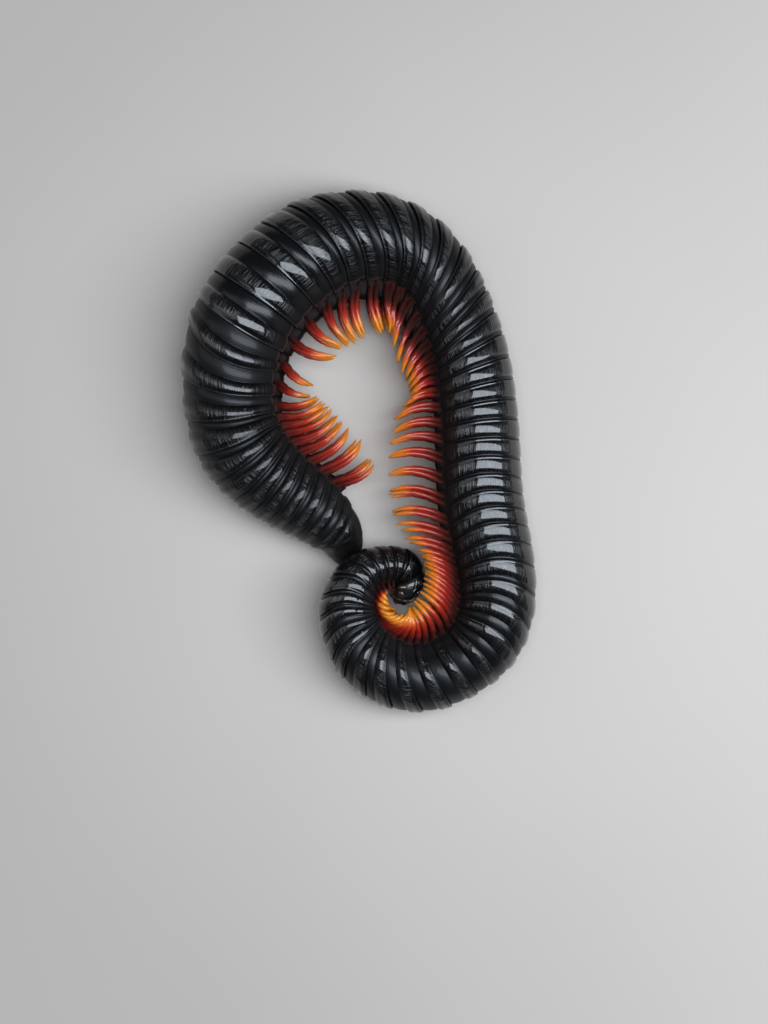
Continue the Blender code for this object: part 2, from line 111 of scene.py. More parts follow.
# Legs: sweep towards the head in degrees, and reach out of the belly, by station.
LEG_SWEEP = (
    (6, -24), (9, -23), (12, -17), (18, -14), (21, -12), (25, -3), (28, 1), (31.6, -16), (35, -34),
    (37, -20), (39.2, 4), (43.7, 12), (48, 1), (51.5, -8), (55, -11), (58.7, -6), (62.7, 12),
    (65.4, 25), (70, 34), (76, 42), (80, 42), (84, 38), (86, 30), (88.1, 21), (91, 10), (94.5, 6),
    (97, 0), (100, -6), (105.2, -14), (108.2, -19), (111, -25), (114, -35), (118, -38), (121, -30),
    (124.5, -14), (127.4, -1), (130.5, 4), (134, 8), (138, 17), (141, 14), (144, 3), (147, -4),
    (150, -4), (152, 0), (160, 0),
)
LEG_REACH = (
    (6, 3.6), (8.7, 4.6), (10.4, 5.7), (12.3, 6.4), (18, 6.7), (25, 6.3), (28.2, 5.6), (31.6, 4.4),
    (35.5, 4.2), (39, 6.0), (43.7, 6.4), (48, 5.9), (51.4, 6.4), (55, 6.9), (59, 7.3), (62.7, 6.9),
    (65.4, 6.0), (70, 5.2), (76, 5.1), (80, 4.8), (83, 4.0), (88, 3.7), (90, 5.2), (91.5, 6.1),
    (96.7, 6.8), (100, 7.2), (105, 7.1), (108.2, 6.8), (110.9, 5.9), (113, 4.4), (116.8, 4.4),
    (119.6, 5.0), (123.2, 6.0), (127.4, 6.3), (130.5, 5.8), (134, 5.1), (138, 4.7), (141, 4.4),
    (144, 4.0), (146, 3.9), (148, 3.6), (150, 3.2), (152, 2.6), (154, 2.4), (156, 2.4), (158, 1.6),
    (160, 1.2),
)
# Width of the band of painted shade between the rim of the rings and where the legs turn red: there the
# legs are painted nearly black and the belly plates reach out, for the shade under the body.
PAINTED_SHADE_BAND = (
    (5, 0.3), (8, 0.75), (12, 0.65), (18, 0.5), (21, 0.3), (25, 0.45), (31, 0.85), (36, 0.8),
    (40, 1.0), (45, 1.1), (51, 1.45), (55, 1.75), (59, 2.4), (63, 2.7), (76, 2.45), (80, 2.2),
    (84, 1.5), (87, 1.0), (91, 0.8), (97, 0.95), (104, 0.85), (110, 1.05), (114, 0.9), (119, 1.25),
    (126, 1.3), (130, 1.1), (138, 0.8), (142, 0.4), (146, 0.2), (152, 0.15), (154, 0.3),
    (156, 0.7), (158, 1.1),
)
LEG_BOW = 0.12  # how far a leg bows back towards the tail, as a share of its reach
# In the roll the upper legs are lifted over the head, and the lower ones are tucked short of it.
ROLL_LIFT = (
    (108, 0.0), (114, 0.5), (126, 0.9), (133.6, 0.9), (134.2, 0.1), (146.2, 0.1), (146.6, 0.8),
    (150, 0.8), (156, 0.2),
)
ROLL_TUCK = ((107, 1.0), (112, 0.58), (130, 0.55), (150, 0.6), (152, 1.0))
LEG_LENGTH = 8.0
LEG_THICK = 0.4
LEG_SIDES = 7
LEG_ARCH = 0.32  # height of a leg's arch, as a share of its spare length
REACH_VARIES = 0.04  # legs differ in reach by this share
SWEEP_VARIES = 1.5  # and in sweep by these degrees
# Half the distance between the two legs on one side of a ring, and how they lean together.
PAIR_HALF = (
    (6, 0.36), (30, 0.42), (45, 0.56), (60, 0.66), (80, 0.56), (90, 0.4), (104, 0.38), (108, 0.5),
    (114, 0.85), (135, 0.9), (145, 0.8),
)
PAIR_CLOSE = ((100, 2.0), (112, 0.0))
# How stout the legs are, by station.
LEG_STOUT = ((100, 1.0), (115, 1.12), (140, 1.16), (150, 1.1))
SINGLE_FROM = 144.0  # the first rings behind the head carry one pair each
LOWER_SINGLE_FROM = 104.0  # and under the roll every second lower leg is left out
# How much of the legs turns orange, by station.
LEG_WARMTH = (
    (6, 0.0), (30, 0.02), (44, 0.12), (55, 0.28), (75, 0.25), (84, 0.15), (92, 0.0), (106, 0.0),
    (112, 0.1), (122, 0.15), (135, 0.25), (144, 0.4), (148, 1.1), (160, 1.5),
)
# How high a leg arches along its reach, from the belly to the tip.
LEG_RISE = (
    (-0.3, -0.05), (0.0, 0.12), (0.1, 0.28), (0.22, 0.5), (0.4, 0.82), (0.62, 1.0), (0.8, 0.88),
    (1.0, 0.45),
)
BLOCK_LENGTH = 0.36  # half length of a belly plate, as a share of the ring's belly side
BLOCK_WIDTH = 0.24  # half width of a belly plate, in radii

# Outline of one ring: place along the ring (-1 end of the hollow behind it, 0 hind edge,
# 1 furrow, 2 edge of the next ring, 3 end under it) and share of the body's radius.
RING_SHAPE = (
    (-1.0, 0.93),
    (0.0, 0.962), (0.0, 0.978), (0.003, 0.992), (0.03, 0.9985), (0.06, 0.997), (0.1, 0.9925),
    (0.15, 0.9955), (0.25, 0.9985), (0.4, 1.0), (0.55, 1.0), (0.7, 0.998), (0.83, 0.993),
    (0.93, 0.981), (0.985, 0.966), (1.01, 0.963), (1.05, 0.964), (1.15, 0.971), (1.3, 0.977),
    (1.47, 0.978), (1.65, 0.973), (1.83, 0.961), (2.0, 0.947), (2.4, 0.935), (3.0, 0.915),
)
# How much a ring's hind band is domed from edge to edge, by station.
RING_DOME = (
    (8, 0.025), (38, 0.025), (44, 0.008), (52, 0.01), (58, 0.025), (80, 0.025), (85, 0.0), (110, 0.0),
    (115, 0.012), (122, 0.016), (128, 0.02), (158, 0.02),
)
# Outline of one leg: share of its length and thickness, in at each joint.
LEG_SHAPE = (
    (0.0, 1.25), (0.14, 1.25), (0.19, 0.95), (0.26, 1.12), (0.36, 1.06), (0.4, 0.88), (0.48, 1.02),
    (0.59, 0.94), (0.63, 0.78), (0.72, 0.88), (0.83, 0.72), (0.87, 0.58), (0.95, 0.44), (1.0, 0.06),
)
# Outline of one feeler, swelling and narrowing at its seven joints.
FEELER_SHAPE = (
    (0.0, 0.7), (0.04, 0.9), (0.08, 1.0), (0.11, 0.8), (0.13, 0.86), (0.2, 1.0), (0.25, 1.04),
    (0.265, 0.78), (0.28, 0.84), (0.36, 1.0), (0.42, 1.06), (0.435, 0.8), (0.45, 0.86),
    (0.53, 1.02), (0.59, 1.08), (0.605, 0.82), (0.62, 0.88), (0.7, 1.06), (0.76, 1.12),
    (0.775, 0.84), (0.79, 0.9), (0.87, 1.06), (0.92, 1.08), (0.935, 0.82), (0.95, 0.86),
    (0.985, 0.8), (1.0, 0.55),
)
FEELER_THICK = 0.25
FEELER_SIDES = 24
CONE_SIZES = (0.09, 0.035, 0.035)

# Outlines of the tail's cone and of the collar: station and share of the body's radius.
TELSON_SHAPE = (
    (5.95, 0.9), (5.5, 0.935), (4.9, 0.955), (4.4, 0.965), (3.9, 0.97), (3.5, 0.972), (3.3, 0.975),
    (3.1, 0.955), (2.6, 0.95), (2.1, 0.93), (1.75, 0.86), (1.5, 0.7), (1.38, 0.4),
)
COLLUM_SHAPE = (
    (161.5, 0.9), (161.05, 0.97), (161.0, 1.02), (161.05, 1.04), (161.15, 1.045), (161.3, 1.04),
    (161.6, 1.035), (161.9, 1.02), (162.2, 1.0), (162.45, 0.975), (162.58, 0.94), (162.6, 0.8),
)
VALVES_AT = 1.5  # station of the tail's two valves
VALVE_SIZES = (1.22, 1.6, 0.92)
VALVE_SIDE = 0.6  # a valve's middle lies this far to the side
VALVE_CUT = 0.035  # and its inner side is cut flat this far from the middle

# Head: points on its crown and on its chin (ahead, to the back), and its half width.
HEAD_PROFILE = (
    ((0.2, 1.95), (0.2, -1.8), 1.95), ((0.3, 2.05), (0.27, -2.1), 2.1),
    ((0.55, 2.12), (0.29, -2.28), 2.22), ((0.95, 2.1), (0.32, -2.42), 2.36),
    ((1.5, 1.92), (0.38, -2.54), 2.46), ((2.05, 1.6), (0.46, -2.64), 2.5),
    ((2.55, 1.15), (0.58, -2.7), 2.5), ((2.95, 0.62), (0.72, -2.76), 2.46),
    ((3.27, 0.02), (0.88, -2.83), 2.38), ((3.5, -0.62), (1.06, -2.92), 2.26),
    ((3.62, -1.25), (1.26, -3.02), 2.1), ((3.6, -1.85), (1.48, -3.12), 1.88),
    ((3.45, -2.35), (1.7, -3.2), 1.62), ((3.22, -2.72), (1.92, -3.26), 1.36),
    ((2.98, -2.96), (2.1, -3.28), 1.12),
)
HEAD_SIDES = 200
HEAD_LOOPS = 110
# Middle line of a feeler: ahead, to the back, to the side.
FEELER = (
    (2.2, 0.0, 2.02), (2.35, -0.1, 2.45), (2.65, -0.35, 2.78), (2.8, -0.75, 2.88),
    (2.75, -1.2, 2.86), (2.57, -1.7, 2.77), (2.3, -2.2, 2.6), (1.95, -2.63, 2.32),
    (1.5, -3.0, 1.95), (1.2, -3.18, 1.68), (0.95, -3.3, 1.45),
)
# Plates of the jaws and the chin on each side: seat (ahead, to the back, to the side), turn,
# sizes, and how near the mouth they count for their colour.
JAW_PLATES = (
    ("cardo", (0.78, -1.35, 2.02), -20.0, (0.5, 0.78, 0.42), 0.75),
    ("stipes", (1.75, -1.62, 1.82), -32.0, (0.8, 1.02, 0.52), 0.75),
    ("jaw_tip", (2.75, -2.05, 1.28), -50.0, (0.62, 0.7, 0.46), 0.75),
    ("chin_side", (1.35, -2.72, 0.72), -28.0, (0.95, 0.3, 0.42), 0.75),
    ("chin_tongue", (2.15, -3.02, 0.34), -20.0, (0.48, 0.26, 0.26), 0.75),
    ("chin_peg_outer", (2.66, -3.12, 0.78), 0.0, (0.24, 0.15, 0.13), 0.95),
    ("chin_peg_inner", (2.66, -3.2, 0.26), 0.0, (0.22, 0.14, 0.12), 0.95),
)
CHIN_SEAT = (0.95, -2.62)
CHIN_SIZES = (0.55, 0.24, 0.46)
# Rows of small pits across the upper lip: place from neck to mouth, number, step between them.
LIP_PITS = ((0.8, 6, 0.19), (0.92, 10, 0.125))
LIP_TEETH = (-0.2, 0.0, 0.2)
EYE_SEAT = (1.2, 0.85, 2.0)
EYE_SIZES = (0.46, 0.62, 0.33)
LENS_ROWS = 6
LENS_COLUMNS = 7
LENS_SIZES = (0.075, 0.08, 0.075)
LENS_STEPS = (0.135, 0.165)

# Stage, in metres.
FLOOR_SIZE = 2.0
FAR_FLOOR = (0.5, 0.5, 0.5)  # brightness of the floor and the backdrop in the distance
SKY = (0.72, 0.85, 1.0, 1.0)
SKY_STRENGTH = 0.055
# Lamps: name, place, size, power and colour.
LAMPS = (
    ("key", (0.085, -0.01, 0.2), (0.1, 0.3), 0.76, (0.82, 0.91, 1.0)),
    ("left", (-0.22, 0.04, 0.2), (0.12, 0.3), 0.1, (0.94, 0.97, 1.0)),
)
LAMP_AIM = (0.0, -0.002, 0.005)
CAMERA_PLACE = (0.00333, -0.00805, 0.2163)
PICTURE_FROM = 0.21  # distance of the plane on which the photo's scale was read
PICTURE_HEIGHT = 0.1398  # and the height of the picture there


def table(rows, s):
    """Straight-line reading of a table of (station, value), for one station or many."""
    return np.interp(s, [r[0] for r in rows], [r[1] for r in rows])


def run_along(line):
    """Distance run at every point of a line."""
    return np.concatenate([[0.0], np.cumsum(np.linalg.norm(np.diff(line, axis=0), axis=1))])


def smoothed(line, times):
    """Line with its points moved to the mean of their neighbours."""
    for _ in range(times):
        line[1:-1] = (line[:-2] + 2.0 * line[1:-1] + line[2:]) / 4.0
    return line


class Body:
    """The animal's middle line, with its radius and directions at any station."""

    FINE = 12000
    READ_OVER = 0.4  # directions are read this far ahead and behind

    def __init__(self, rows):
        rows = np.array(rows, float)
        steps = np.linalg.norm(np.diff(rows[:, :2], axis=0), axis=1)
        knots = np.concatenate([[0.0], np.cumsum(steps)])
        size = len(knots)
        matrix = np.zeros((size, size))
        right = np.zeros((size, rows.shape[1]))
        matrix[0, 0] = 1.0
        matrix[-1, -1] = 1.0
        for i in range(1, size - 1):
            matrix[i, i - 1] = steps[i - 1]
            matrix[i, i] = 2.0 * (steps[i - 1] + steps[i])
            matrix[i, i + 1] = steps[i]
            right[i] = 6.0 * ((rows[i + 1] - rows[i]) / steps[i] - (rows[i] - rows[i - 1]) / steps[i - 1])
        bend = np.linalg.solve(matrix, right)
        fine = np.linspace(0.0, knots[-1], self.FINE)
        k = np.clip(np.searchsorted(knots, fine, side="right") - 1, 0, size - 2)
        h = steps[k][:, None]
        a = (fine - knots[k])[:, None]
        b = knots[k + 1][:, None] - fine[:, None]
        self.rows = (bend[k] * b ** 3 + bend[k + 1] * a ** 3) / (6.0 * h)
        self.rows += (rows[k] / h - bend[k] * h / 6.0) * b + (rows[k + 1] / h - bend[k + 1] * h / 6.0) * a
        self.stations = run_along(self.rows[:, :2])
        self.end = self.stations[-1]

    def centre(self, s):
        x, y, radius, lift = [np.interp(s, self.stations, self.rows[:, i]) for i in range(4)]
        return np.stack([x, y, radius * FLOOR_SINK + lift], axis=-1)

    def radius(self, s):
        return np.interp(s, self.stations, self.rows[:, 2])

    def frame(self, s):
        """Middle points and the directions to the head, to the back and to the right flank."""
        s = np.asarray(s, float)
        ahead = self.centre(np.minimum(s + self.READ_OVER, self.end))
        ahead = ahead - self.centre(np.maximum(s - self.READ_OVER, 0.0))
        ahead /= np.linalg.norm(ahead, axis=-1, keepdims=True)
        back = np.cross(np.array([0.0, 0.0, 1.0]), ahead)
        back /= np.linalg.norm(back, axis=-1, keepdims=True)
        return self.centre(s), ahead, back, np.cross(ahead, back)

    def edge(self, s, v):
        """Where an edge that crosses the flank at station s passes v radii to the back."""
        lean = np.tan(np.radians(table(RING_LEAN, s)))
        return s + self.radius(s) * (lean * v - table(RING_BOW, s) * v * v)

    def wrap(self, s, across, up):
        """Places on a ring: station on the flank, and shares of the radius to the back and flank."""
        place = self.edge(s, across / np.maximum(np.hypot(across, up), 0.001))
        middle, ahead, back, flank = self.frame(place)
        radius = self.radius(place)
        across = np.where(across < 0.0, across * table(BELLY_DEPTH, s), across)
        points = middle + back * (radius * across)[:, None] + flank * (radius * up)[:, None]
        points[:, 2] = np.maximum(points[:, 2], 0.0)
        return points


body = Body(ROUTE)


def clear_choice():
    """Leave edit mode and choose nothing."""
    if bpy.context.object and bpy.context.object.mode != "OBJECT":
        bpy.ops.object.mode_set(mode="OBJECT")
    bpy.ops.object.select_all(action="DESELECT")


def pick(thing):
    """Choose one object."""
    clear_choice()
    thing.select_set(True)
    bpy.context.view_layer.objects.active = thing


def face_outward():
    """Turn all faces of the chosen object outward."""
    bpy.ops.object.mode_set(mode="EDIT")
    bpy.ops.mesh.select_all(action="SELECT")
    bpy.ops.mesh.normals_make_consistent(inside=False)
    bpy.ops.object.mode_set(mode="OBJECT")


def turned(name, outline, sides):
    """Blank made from a disc that is extruded and narrowed loop by loop along +Z."""
    clear_choice()
    place, width = outline[0]
    bpy.ops.mesh.primitive_circle_add(vertices=sides, radius=width, fill_type="NGON",
                                      location=(0, 0, place))
    blank = bpy.context.object
    blank.name = name
    bpy.ops.object.transform_apply(location=True, rotation=True, scale=True)
    bpy.ops.object.mode_set(mode="EDIT")
    bpy.ops.mesh.select_mode(type="FACE")
    bpy.ops.mesh.select_all(action="SELECT")
    for (low, wide), (high, next_wide) in zip(outline, outline[1:]):
        bpy.ops.mesh.extrude_region_move(TRANSFORM_OT_translate={"value": (0, 0, high - low)})
        share = next_wide / wide
        bpy.ops.transform.resize(value=(share, share, 1.0), center_override=(0, 0, high))
    bpy.ops.object.mode_set(mode="OBJECT")
    face_outward()
    return blank


def poke_ends(blank):
    """Fan the flat ends, so that they can follow a bent body."""
    pick(blank)
    bpy.ops.object.mode_set(mode="EDIT")
    bpy.ops.mesh.select_mode(type="FACE")
    bpy.ops.mesh.select_all(action="DESELECT")
    bpy.ops.object.mode_set(mode="OBJECT")
    for face in blank.data.polygons:
        face.select = len(face.vertices) > 4
    bpy.ops.object.mode_set(mode="EDIT")
    bpy.ops.mesh.poke()
    bpy.ops.object.mode_set(mode="OBJECT")
    return blank


def points_of(thing):
    """All points of an object as rows of three."""
    flat = np.empty(len(thing.data.vertices) * 3)
    thing.data.vertices.foreach_get("co", flat)
    return flat.reshape(-1, 3)


def move(thing, points):
    """Put an object's points at new places, in millimetres."""
    thing.data.vertices.foreach_set("co", (points * MM).ravel())
    thing.data.update()


def tag(thing, name, values):
    """Keep a vector on every point of an object."""
    data = thing.data
    kept = data.attributes.get(name) or data.attributes.new(name, "FLOAT_VECTOR", "POINT")
    values = np.broadcast_to(values, (len(data.vertices), 3))
    kept.data.foreach_set("vector", np.ascontiguousarray(values, dtype=np.float32).ravel())
    return thing


def copy_of(blank, name, points, **values):
    """Copy of a blank with its own mesh, its points moved and values kept on them."""
    thing = bpy.data.objects.new(name, blank.data.copy())
    bpy.context.scene.collection.objects.link(thing)
    move(thing, points)
    for key, value in values.items():
        tag(thing, key, value)
    return thing


def keep(name, things, look, slot, *nodes, sharp=50.0):
    """Join things as one piece, shade it, give it its material and hide the model's parts that it stands
    for.
    """
    pick(things[0])
    for thing in things:
        thing.select_set(True)
    if len(things) > 1:
        bpy.ops.object.join()
    piece = bpy.context.object
    piece.name = name
    piece.data.name = name
    face_outward()
    bpy.ops.object.shade_smooth_by_angle(angle=math.radians(sharp))
    piece.data.materials.clear()
    piece.data.materials.append(look)
    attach(piece, "root")
    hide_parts(*nodes)
    clear_choice()


# Materials.

class Value:
    """A node's output that can be used in ordinary sums."""

    def __init__(self, look, socket):
        self.look = look
        self.socket = socket

    def sum(self, operation, a, b=0.0):
        return self.look.node("ShaderNodeMath", {"operation": operation}, {0: a, 1: b})

    def __add__(self, other):
        return self.sum("ADD", self, other)

    def __sub__(self, other):
        return self.sum("SUBTRACT", self, other)

    def __rsub__(self, other):
        return self.sum("SUBTRACT", other, self)

    def __mul__(self, other):
        return self.sum("MULTIPLY", self, other)

    def __truediv__(self, other):
        return self.sum("DIVIDE", self, other)

    def __pow__(self, other):
        return self.sum("POWER", self, other)

    __radd__ = __add__
    __rmul__ = __mul__

    def floor(self):
        return self.sum("FLOOR", self)


class Finish:
    """A material on the way: its nodes and its shader."""

    def __init__(self, name, **constants):
        self.material = bpy.data.materials.new(name)
        self.material.use_nodes = True
        self.tree = self.material.node_tree
        self.shader = self.tree.nodes["Principled BSDF"]
        for key, value in constants.items():
            self.shader.inputs[key.replace("_", " ")].default_value = value

    def node(self, kind, settings=None, values=None, output=0):
        """New node with its settings and inputs; gives back one of its outputs."""
        made = self.tree.nodes.new(kind)
        for key, value in (settings or {}).items():
            setattr(made, key, value)
        for key, value in (values or {}).items():
            socket = made.inputs[key]
            if isinstance(value, Value):
                self.tree.links.new(value.socket, socket)
            else:
                socket.default_value = value
        return Value(self, made.outputs[output])

    def attribute(self, name):
        """The three parts of a vector kept on the points."""
        return self.parts(self.node(
            "ShaderNodeAttribute", {"attribute_type": "GEOMETRY", "attribute_name": name}, output="Vector"))

    def parts(self, vector):
        return [self.node("ShaderNodeSeparateXYZ", None, {0: vector}, output=i) for i in range(3)]

    def place(self):
        return self.node("ShaderNodeTexCoord", output="Object")

    def vector(self, x, y, z):
        return self.node("ShaderNodeCombineXYZ", None, {0: x, 1: y, 2: z})

    def grain(self, *numbers):
        """Noise in space with its scale, detail and roughness."""
        return self.noise(self.place(), *numbers)

    def noise(self, where, scale, detail=2.0, roughness=0.5):
        return self.node("ShaderNodeTexNoise", {"noise_dimensions": "3D"},
                         {"Vector": where, "Scale": scale, "Detail": detail, "Roughness": roughness})

    def step(self, value, low, high, start=0.0, end=1.0):
        """Smooth change from start to end while the value goes from low to high."""
        return self.node("ShaderNodeMapRange", {"interpolation_type": "SMOOTHSTEP"},
                         {"Value": value, "From Min": low, "From Max": high,
                          "To Min": start, "To Max": end})

    def blend(self, share, low, high):
        low = low if isinstance(low, Value) else (*low, 1.0)
        high = high if isinstance(high, Value) else (*high, 1.0)
        return self.node("ShaderNodeMix", {"data_type": "RGBA"}, {0: share, 6: low, 7: high}, output=2)

    def ramp(self, share, stops):
        made = self.node("ShaderNodeValToRGB", None, {0: share})
        elements = made.socket.node.color_ramp.elements
        while len(elements) < len(stops):
            elements.new(0.5)
        for element, (place, colour) in zip(elements, stops):
            element.position = place
            element.color = (*colour, 1.0)
        return made

    def set(self, **inputs):
        for key, value in inputs.items():
            self.tree.links.new(value.socket, self.shader.inputs[key.replace("_", " ")])

    def bump(self, height, distance, strength=1.0):
        self.set(Normal=self.node("ShaderNodeBump", None,
                                  {"Height": height, "Distance": distance, "Strength": strength}))


def cuticle_finish():
    """Glossy black hind bands with fine grooves, satin dark grey fronts, brown belly edge."""
    look = Finish("cuticle", Coat_Roughness=0.06, IOR=1.4, Specular_IOR_Level=0.4)
    across, up, along = look.attribute("shell")
    ring = (along / 4.0).floor()
    zone = along - ring * 4.0
    band = look.step(zone, 0.96, 1.04, 1.0, 0.0)
    # Grooves run along the body; they are strongest on the flanks and fade to the back.
    streaks = look.noise(look.vector(across * 21.0, up * 21.0, ring * 5.3 + zone * 0.35), 1.0, 2.0, 0.6)
    coarse = look.noise(look.vector(across * 9.0, up * 9.0, ring * 3.1 + zone * 0.25), 1.0, 1.0)
    flank = look.step(across, 0.45, 0.82, 1.0, 0.12)
    groove = look.step(streaks, 0.36, 0.6)
    inner = look.step(zone, 0.2, 0.34)
    marks = look.grain(2600.0, 3.0, 0.65)
    rings = look.noise(look.vector(across * 2.0, up * 2.0, ring * 9.0 + zone * 14.0), 1.0, 2.0)
    patches = look.grain(260.0, 3.0, 0.6)
    # Paler line just inside the hind edge: partly the raised rim's own paler tone, partly painted highlight
    # on it.
    rim = look.step(zone, 0.03, 0.05) * look.step(zone, 0.07, 0.1, 1.0, 0.0)
    edge = look.step(across, -0.975, -0.935, 1.0, 0.0)
    # Broad gloss on the long straight limb, on the widest rings and at the neck; elsewhere
    # only a strip along the middle of each hind band is polished.
    straight = look.step(ring, 24.0, 28.0) * look.step(ring, 41.0, 44.0, 1.0, 0.0)
    widest = look.step(ring, 12.0, 13.0) * look.step(ring, 15.0, 17.0, 1.0, 0.0)
    broad = straight + widest + look.step(ring, 49.0, 51.0)
    strip = look.step(zone, 0.18, 0.38) * look.step(zone, 0.48, 0.72, 1.0, 0.0)
    dull = (1.0 - broad) * (1.0 - strip)
    tail = look.step(ring, 9.0, 13.0, 0.55, 1.0)

    black = look.blend(patches, (0.0014, 0.0014, 0.0017), (0.0036, 0.0033, 0.0036))
    satin = look.blend(rings, (0.0022, 0.0024, 0.003), (0.006, 0.0064, 0.0075))
    colour = look.blend(band, satin, black)
    # Paler rim line, partly painted highlight.
    colour = look.blend(rim * 0.5, colour, (0.03, 0.026, 0.024))
    colour = look.blend(edge, colour, (0.06, 0.027, 0.019))
    rough = band * (0.11 + 0.12 * coarse + 0.12 * (1.0 - groove) * flank * inner + 0.12 * dull)
    rough = rough + (1.0 - band) * (0.2 + 0.1 * rings + 0.16 * (1.0 - broad)) + marks * 0.04
    relief = band * flank * (0.35 + 0.65 * inner) * (streaks + 0.25 * groove)
    height = relief + band * coarse * 0.15 + (1.0 - band) * rings * 0.12 + marks * 0.05
    under = look.step(across, -0.88, -0.55, 1.0, 0.0)
    look.set(Base_Color=colour, Roughness=rough + under * 0.4,
             Coat_Weight=(band * (0.8 - 0.68 * dull) * tail + 0.1) * (1.0 - under))
    look.bump(height, 0.0002, 0.95)
    return look.material


def head_finish():
    """Smooth black head, a little brown towards the mouth."""
    look = Finish("head_shell", Coat_Roughness=0.08, IOR=1.5)
    fine = look.grain(3200.0, 3.0, 0.6)
    broad = look.grain(420.0, 3.0, 0.6)
    mouth = look.step(look.attribute("shell")[2], 0.55, 1.0)
    colour = look.blend(broad, (0.004, 0.004, 0.004), (0.013, 0.011, 0.01))
    colour = look.blend(mouth * 0.75, colour, (0.05, 0.018, 0.008))
    look.set(Base_Color=colour, Roughness=0.16 + 0.2 * broad, Coat_Weight=0.2 + 0.25 * (1.0 - fine))
    look.bump(fine * 0.4 + broad, 0.00005, 0.6)
    return look.material


def leg_finish():
    """Legs from nearly black roots, painted shade under the body, through dark red, crimson and brick to
    orange tips.
    """
    look = Finish("legs", Coat_Roughness=0.12, IOR=1.33, Specular_IOR_Level=0.3)
    warmth, share, number = look.attribute("limb")
    own = look.node("ShaderNodeTexWhiteNoise", {"noise_dimensions": "1D"}, {"W": number})
    mottle = look.grain(1500.0, 3.0, 0.6)
    where = warmth + (own - 0.5) * 0.07 + (mottle - 0.5) * 0.14
    # The lowest stops are nearly black: painted shade on the leg roots next to the belly.
    colour = look.ramp(where, (
        (0.0, (0.014, 0.003, 0.0025)), (0.14, (0.04, 0.005, 0.0035)), (0.24, (0.11, 0.008, 0.005)),
        (0.36, (0.22, 0.012, 0.007)), (0.52, (0.36, 0.022, 0.009)), (0.62, (0.48, 0.048, 0.011)),
        (0.71, (0.66, 0.12, 0.014)), (0.82, (0.76, 0.2, 0.018)), (1.0, (0.8, 0.27, 0.024))))
    beyond = look.step(share * 6.4 + 0.25, 0.0, 1.0)
    fine = look.grain(4200.0, 2.0, 0.6)
    colour = look.blend(fine * 0.22 * beyond, colour, (0.12, 0.012, 0.005))
    root = look.step(warmth, 0.2, 0.42, 1.0, 0.0)
    look.set(Base_Color=colour, Roughness=0.2 + 0.22 * mottle + root * 0.4,
             Coat_Weight=(0.5 + 0.4 * mottle) * (1.0 - root))
    look.bump(fine + mottle, 0.00004, 0.5)
    return look.material


def belly_and_shade_finish():
    """Dark brown, a little shiny, between the rims and the legs: partly the belly plates' own colour,
    partly painted shade under the body.
    """
    look = Finish("belly", Coat_Roughness=0.3, IOR=1.48, Specular_IOR_Level=0.12)
    fine = look.grain(2600.0, 3.0, 0.6)
    broad = look.grain(700.0, 2.0)
    colour = look.blend(broad, (0.0022, 0.0011, 0.001), (0.006, 0.0022, 0.0018))
    look.set(Base_Color=colour, Roughness=0.5 + 0.2 * fine, Coat_Weight=0.02 * broad)
    look.bump(fine + broad, 0.00006, 0.6)
    return look.material


def feeler_finish():
    """Blackish brown feelers with paler tips."""
    look = Finish("feelers", Coat_Roughness=0.15, IOR=1.48)
    fine = look.grain(3600.0, 3.0, 0.6)
    broad = look.grain(900.0, 2.0)
    share = look.attribute("limb")[1]
    colour = look.blend(broad, (0.006, 0.004, 0.0035), (0.02, 0.01, 0.007))
    colour = look.blend(look.step(share, 0.93, 1.0), colour, (0.1, 0.07, 0.05))
    look.set(Base_Color=colour, Roughness=0.3 + 0.2 * fine, Coat_Weight=0.2 + 0.2 * broad)
    look.bump(fine, 0.00004, 0.6)
    return look.material


def eye_finish():
    """Glassy black lenses."""
    look = Finish("eyes", Coat_Roughness=0.03, IOR=1.55)
    cloud = look.grain(1400.0, 2.0)
    colour = look.blend(cloud, (0.003, 0.003, 0.003), (0.012, 0.01, 0.009))
    look.set(Base_Color=colour, Roughness=0.06 + 0.08 * cloud, Coat_Weight=0.5 + 0.4 * cloud)
    return look.material


def floor_finish():
    """Plain pale floor.  Far from the lamps it glows a little, so that it stays pale."""
    look = Finish("floor", IOR=1.45, Emission_Strength=1.0)
    cloud = look.grain(14.0, 4.0)
    fine = look.grain(900.0, 3.0, 0.6)
    colour = look.blend(cloud, (0.56, 0.5, 0.455), (0.6, 0.54, 0.495))
    east, north = look.parts(look.place())[:2]
    far = look.step((east * east + north * north) ** 0.5, 0.06, 0.26)
    look.set(Base_Color=colour, Roughness=0.78 + 0.1 * fine,
             Emission_Color=look.blend(far, (0.0, 0.0, 0.0), FAR_FLOOR))
    look.bump(fine, 0.00003, 0.3)
    return look.material


# Rings.

def trunk_lengths():
    """Number and rings of every trunk node, from the tail.  A ring is its number from the tail,
    the stations of its hind and front edge, and the length of its hind band."""
    number = 0
    for k, size in enumerate(TRUNK_RINGS):
        rings = []
        for _ in range(size):
            rear = table(RING_EDGES, number)
            number += 1
            front = table(RING_EDGES, number)
            plate = min(PLATE_SHARE * body.radius(rear), table(PLATE_MOST, rear) * (front - rear))
            rings.append((number, rear, front, plate))
        yield len(TRUNK_RINGS) - k, rings


def shell_values(shape, number, zone):
    """Kept for the shell's look: shares to the back and the flank, and the ring's number times
    four plus the place along it: 0 at the hind edge, 1 at the furrow, 3 at the end."""
    wide = np.maximum(np.hypot(shape[:, 0], shape[:, 1]), 0.001)
    return np.stack([shape[:, 0] / wide, shape[:, 1] / wide, zone + 4.0 * number], axis=1)


